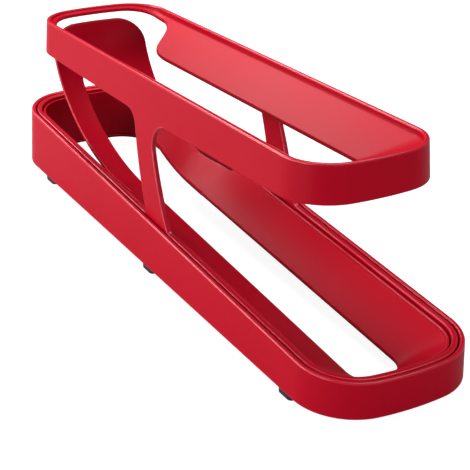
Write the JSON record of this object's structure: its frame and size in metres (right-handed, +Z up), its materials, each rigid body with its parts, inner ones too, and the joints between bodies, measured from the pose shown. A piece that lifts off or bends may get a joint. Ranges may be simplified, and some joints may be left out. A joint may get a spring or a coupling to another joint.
{
  "type": "rolling egg dispenser",
  "caption": "Two-tier rolling rack: a sloped slotted upper track on two leaning legs over a curved chute and a slotted lower track in a wedge-shaped base frame.",
  "frame": {"origin": "middle of the footprint, on the surface that the feet stand on", "axes": "+X toward the low front end, +Y to the left seen from the rear, +Z up"},
  "size_m": [0.327, 0.082, 0.103],
  "materials": {
    "red_plastic": "satin moulded",
    "black_rubber": "matt"
  },
  "bodies": {
    "base": {"base_frame": "red_plastic", "foot_rear_left": "black_rubber", "foot_rear_right": "black_rubber", "foot_middle_left": "black_rubber", "foot_middle_right": "black_rubber", "foot_front_left": "black_rubber", "foot_front_right": "black_rubber"},
    "lower": {"lower_track": "red_plastic"},
    "upper": {"stand": "red_plastic"}
  },
  "joints": [
    {"name": "lower_track_lift", "type": "slide", "parent": "base", "child": "lower", "axis": [0, 0, 1], "range_m": [0, 0.036]},
    {"name": "stand_lift", "type": "slide", "parent": "lower", "child": "upper", "axis": [0, 0, 1], "range_m": [0, 0.08]}
  ]
}
